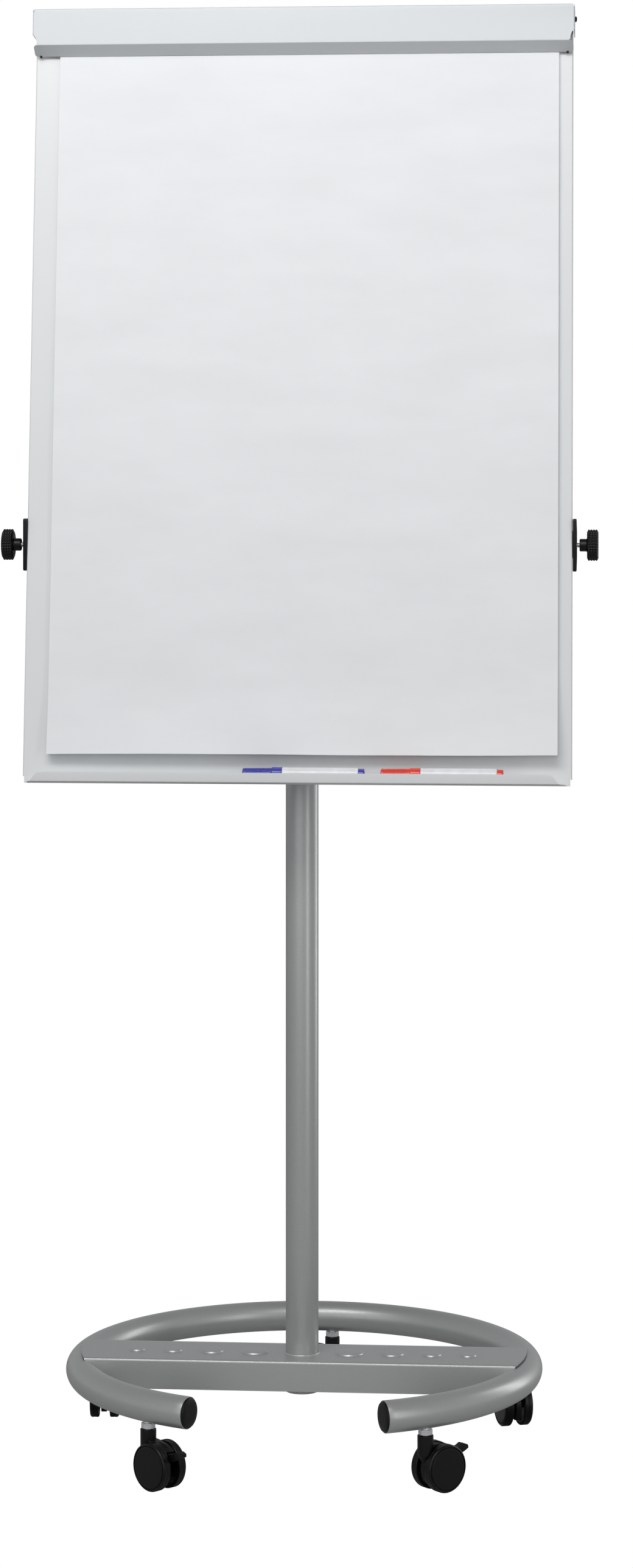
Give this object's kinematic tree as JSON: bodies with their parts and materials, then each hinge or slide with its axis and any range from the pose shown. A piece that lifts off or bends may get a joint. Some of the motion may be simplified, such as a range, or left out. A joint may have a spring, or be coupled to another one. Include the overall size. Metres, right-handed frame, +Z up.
{
  "type": "flipchart easel",
  "caption": "Mobile flipchart easel: tilting sheet-steel board with pad clamp and pen tray, telescopic round mast, open ring base on braked casters.",
  "frame": {"origin": "on the floor, under the middle of the easel's outline seen from above", "axes": "+Z up; the face of the board looks towards -Y; +X to the right seen from the front"},
  "size_m": [0.766, 0.5916, 1.8674],
  "materials": {
    "silver": "satin metallic powder coat",
    "white": "smooth satin powder coat",
    "black": "fine-grained moulded black plastic",
    "zinc": "bright zinc plate",
    "steel": "satin drawn steel",
    "paper": "uncoated white paper",
    "blue": "semi-gloss blue plastic",
    "red": "semi-gloss red plastic",
    "cream": "semi-gloss white plastic",
    "tread": "hard black nylon wheel"
  },
  "bodies": {
    "base": {"base_ring": "silver", "ring_end_cap_right": "black", "ring_end_cap_left": "black", "crossbar": "silver", "post_tube": "silver", "post_foot_plug": "black", "mast_guide_bush": "black", "height_clamp_collar": "black", "caster_back_stem": "zinc", "caster_right_stem": "zinc", "caster_left_stem": "zinc", "caster_front_left_stem": "zinc", "caster_front_right_stem": "zinc"},
    "height_knob": {"height_clamp_knob": "black"},
    "caster_back": {"caster_back_housing": "black", "caster_back_axle": "steel"},
    "caster_back_wheel_left": {"caster_back_wheel_left": "tread"},
    "caster_back_wheel_right": {"caster_back_wheel_right": "tread"},
    "caster_back_brake": {"caster_back_brake_lever": "black"},
    "caster_right": {"caster_right_housing": "black", "caster_right_axle": "steel"},
    "caster_right_wheel_left": {"caster_right_wheel_left": "tread"},
    "caster_right_wheel_right": {"caster_right_wheel_right": "tread"},
    "caster_right_brake": {"caster_right_brake_lever": "black"},
    "caster_left": {"caster_left_housing": "black", "caster_left_axle": "steel"},
    "caster_left_wheel_left": {"caster_left_wheel_left": "tread"},
    "caster_left_wheel_right": {"caster_left_wheel_right": "tread"},
    "caster_left_brake": {"caster_left_brake_lever": "black"},
    "caster_front_left": {"caster_front_left_housing": "black", "caster_front_left_axle": "steel"},
    "caster_front_left_wheel_left": {"caster_front_left_wheel_left": "tread"},
    "caster_front_left_wheel_right": {"caster_front_left_wheel_right": "tread"},
    "caster_front_left_brake": {"caster_front_left_brake_lever": "black"},
    "caster_front_right": {"caster_front_right_housing": "black", "caster_front_right_axle": "steel"},
    "caster_front_right_wheel_left": {"caster_front_right_wheel_left": "tread"},
    "caster_front_right_wheel_right": {"caster_front_right_wheel_right": "tread"},
    "caster_front_right_brake": {"caster_front_right_brake_lever": "black"},
    "mast": {"mast_tube": "steel", "yoke_beam": "silver", "pivot_bracket_right": "black", "pivot_bracket_left": "black"},
    "board": {"board_panel": "white", "board_stiffener": "white", "tilt_screw_right": "zinc", "tilt_screw_left": "zinc", "clamp_rivet_right": "black", "clamp_rivet_left": "black", "clamp_spring": "zinc", "paper_pad": "paper", "pad_peg_right": "zinc", "pad_peg_left": "zinc"},
    "tilt_knob_right": {"tilt_knob_right": "black"},
    "tilt_knob_left": {"tilt_knob_left": "black"},
    "pad_clamp": {"pad_clamp_bar": "white"},
    "blue_marker": {"blue_marker_barrel": "cream"},
    "blue_cap": {"blue_marker_cap": "blue"},
    "red_marker": {"red_marker_cap": "red"},
    "red_barrel": {"red_marker_barrel": "cream"}
  },
  "joints": [
    {"name": "height_knob_turn", "type": "hinge", "parent": "base", "child": "height_knob", "pos_m": [0, 0.00182, 0.884], "axis": [0, 1, 0], "continuous": true},
    {"name": "caster_back_swivel", "type": "hinge", "parent": "base", "child": "caster_back", "pos_m": [0.01417, 0.27547, 0.06], "axis": [0, 0, 1], "continuous": true},
    {"name": "caster_back_roll_left", "type": "hinge", "parent": "caster_back", "child": "caster_back_wheel_left", "pos_m": [-0.00678, 0.27401, 0.02963], "axis": [0.0698, -0.9976, 0], "continuous": true},
    {"name": "caster_back_roll_right", "type": "hinge", "parent": "caster_back", "child": "caster_back_wheel_right", "pos_m": [-0.00678, 0.27401, 0.02963], "axis": [0.0698, -0.9976, 0], "continuous": true},
    {"name": "caster_back_brake_press", "type": "hinge", "parent": "caster_back", "child": "caster_back_brake", "pos_m": [-0.02486, 0.27274, 0.04379], "axis": [0.0698, -0.9976, 0], "range_deg": [0, 18]},
    {"name": "caster_right_swivel", "type": "hinge", "parent": "base", "child": "caster_right", "pos_m": [0.27581, 0.07543, 0.06], "axis": [0, 0, 1], "continuous": true},
    {"name": "caster_right_roll_left", "type": "hinge", "parent": "caster_right", "child": "caster_right_wheel_left", "pos_m": [0.26862, 0.09517, 0.02963], "axis": [-0.9397, -0.342, 0], "continuous": true},
    {"name": "caster_right_roll_right", "type": "hinge", "parent": "caster_right", "child": "caster_right_wheel_right", "pos_m": [0.26862, 0.09517, 0.02963], "axis": [-0.9397, -0.342, 0], "continuous": true},
    {"name": "caster_right_brake_press", "type": "hinge", "parent": "caster_right", "child": "caster_right_brake", "pos_m": [0.26243, 0.1122, 0.04379], "axis": [-0.9397, -0.342, 0], "range_deg": [0, 18]},
    {"name": "caster_left_swivel", "type": "hinge", "parent": "base", "child": "caster_left", "pos_m": [-0.27581, 0.07543, 0.06], "axis": [0, 0, 1], "continuous": true},
    {"name": "caster_left_roll_left", "type": "hinge", "parent": "caster_left", "child": "caster_left_wheel_left", "pos_m": [-0.27727, 0.09638, 0.02963], "axis": [-0.9976, -0.0698, 0], "continuous": true},
    {"name": "caster_left_roll_right", "type": "hinge", "parent": "caster_left", "child": "caster_left_wheel_right", "pos_m": [-0.27727, 0.09638, 0.02963], "axis": [-0.9976, -0.0698, 0], "continuous": true},
    {"name": "caster_left_brake_press", "type": "hinge", "parent": "caster_left", "child": "caster_left_brake", "pos_m": [-0.27854, 0.11446, 0.04379], "axis": [-0.9976, -0.0698, 0], "range_deg": [0, 18]},
    {"name": "caster_front_left_swivel", "type": "hinge", "parent": "base", "child": "caster_front_left", "pos_m": [-0.17533, -0.24518, 0.06], "axis": [0, 0, 1], "continuous": true},
    {"name": "caster_front_left_roll_left", "type": "hinge", "parent": "caster_front_left", "child": "caster_front_left_wheel_left", "pos_m": [-0.15948, -0.25895, 0.02963], "axis": [0.6561, 0.7547, 0], "continuous": true},
    {"name": "caster_front_left_roll_right", "type": "hinge", "parent": "caster_front_left", "child": "caster_front_left_wheel_right", "pos_m": [-0.15948, -0.25895, 0.02963], "axis": [0.6561, 0.7547, 0], "continuous": true},
    {"name": "caster_front_left_brake_press", "type": "hinge", "parent": "caster_front_left", "child": "caster_front_left_brake", "pos_m": [-0.14581, -0.27084, 0.04379], "axis": [0.6561, 0.7547, 0], "range_deg": [0, 18]},
    {"name": "caster_front_right_swivel", "type": "hinge", "parent": "base", "child": "caster_front_right", "pos_m": [0.17046, -0.2488, 0.06], "axis": [0, 0, 1], "continuous": true},
    {"name": "caster_front_right_roll_left", "type": "hinge", "parent": "caster_front_right", "child": "caster_front_right_wheel_left", "pos_m": [0.18606, -0.23475, 0.02963], "axis": [-0.6691, 0.7431, 0], "continuous": true},
    {"name": "caster_front_right_roll_right", "type": "hinge", "parent": "caster_front_right", "child": "caster_front_right_wheel_right", "pos_m": [0.18606, -0.23475, 0.02963], "axis": [-0.6691, 0.7431, 0], "continuous": true},
    {"name": "caster_front_right_brake_press", "type": "hinge", "parent": "caster_front_right", "child": "caster_front_right_brake", "pos_m": [0.19953, -0.22262, 0.04379], "axis": [-0.6691, 0.7431, 0], "range_deg": [0, 18]},
    {"name": "mast_height", "type": "slide", "parent": "base", "child": "mast", "axis": [0, 0, 1], "range_m": [-0.22, 0.05]},
    {"name": "board_tilt", "type": "hinge", "parent": "mast", "child": "board", "pos_m": [0, -0.09718, 1.1705], "axis": [-1, 0, 0], "range_deg": [-7, 28]},
    {"name": "tilt_knob_right_turn", "type": "hinge", "parent": "board", "child": "tilt_knob_right", "pos_m": [0.371, -0.09718, 1.1705], "axis": [1, 0, 0], "continuous": true},
    {"name": "tilt_knob_left_turn", "type": "hinge", "parent": "board", "child": "tilt_knob_left", "pos_m": [-0.371, -0.09718, 1.1705], "axis": [1, 0, 0], "continuous": true},
    {"name": "pad_clamp_lift", "type": "hinge", "parent": "board", "child": "pad_clamp", "pos_m": [0, -0.01364, 1.85089], "axis": [-1, 0, 0], "range_deg": [0, 25], "stiffness_Nm_per_rad": 0.6, "springref_deg": -34.38},
    {"name": "blue_marker_lift", "type": "slide", "parent": "board", "child": "blue_marker", "axis": [0, 0.1219, 0.9925], "range_m": [0, 0.06]},
    {"name": "blue_cap_pull", "type": "slide", "parent": "blue_marker", "child": "blue_cap", "axis": [-1, 0, 0], "range_m": [0, 0.045]},
    {"name": "red_marker_lift", "type": "slide", "parent": "board", "child": "red_marker", "axis": [0, 0.1219, 0.9925], "range_m": [0, 0.06]},
    {"name": "red_barrel_pull", "type": "slide", "parent": "red_marker", "child": "red_barrel", "axis": [1, 0, 0], "range_m": [0, 0.045]}
  ]
}
